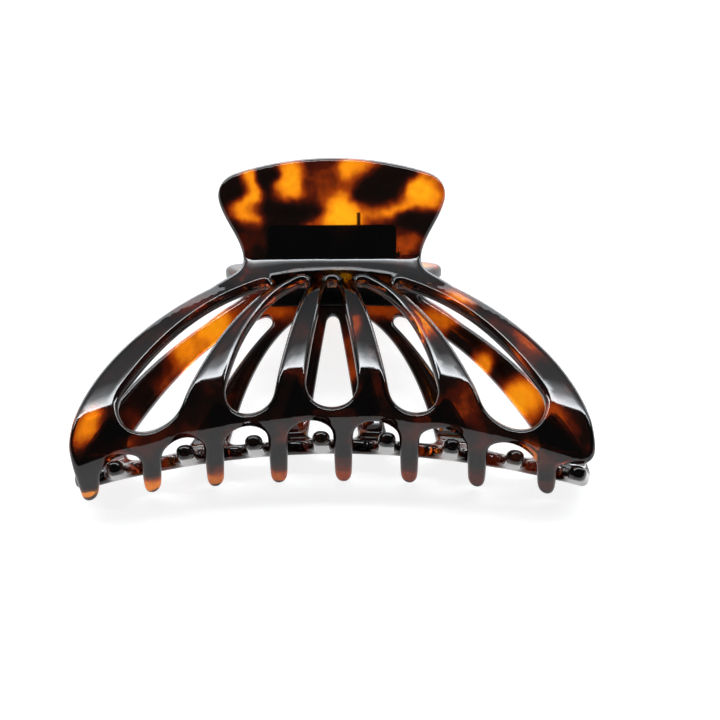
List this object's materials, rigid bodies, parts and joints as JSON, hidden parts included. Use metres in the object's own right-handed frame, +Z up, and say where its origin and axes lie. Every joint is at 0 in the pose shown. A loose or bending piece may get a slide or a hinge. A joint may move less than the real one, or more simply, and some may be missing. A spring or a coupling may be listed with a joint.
{
  "type": "claw clip",
  "caption": "Large hair claw clip: two identical bent acetate jaws with petal slots and interlocking teeth, on a sprung steel hinge.",
  "frame": {"origin": "centre of the bounding box's footprint, on the surface the closed clip lies on", "axes": "+X along the hinge pin and the clip's width, +Y from the teeth towards the handles, +Z up from the surface, with the upper jaw on top"},
  "size_m": [0.1008, 0.0688, 0.0387],
  "materials": {
    "tortoiseshell_acetate": "polished, translucent amber to near-black tortoiseshell mottle",
    "black_steel": "black coated pressed steel",
    "bright_steel": "plain drawn steel"
  },
  "bodies": {
    "lower": {"lower_jaw": "tortoiseshell_acetate", "lower_hinge_plate": "black_steel", "lower_plate_screw_left": "black_steel", "lower_plate_screw_right": "black_steel", "hinge_pin": "bright_steel", "torsion_spring": "bright_steel"},
    "upper": {"upper_jaw": "tortoiseshell_acetate", "upper_hinge_plate": "black_steel", "upper_plate_screw_left": "black_steel", "upper_plate_screw_right": "black_steel"}
  },
  "joints": [
    {"name": "jaw_hinge", "type": "hinge", "parent": "lower", "child": "upper", "pos_m": [0, 0.01967, 0.01755], "axis": [-1, 0, 0], "range_deg": [0, 100], "stiffness_Nm_per_rad": 0.15, "springref_deg": -40.11, "deforming": ["torsion_spring"]}
  ]
}
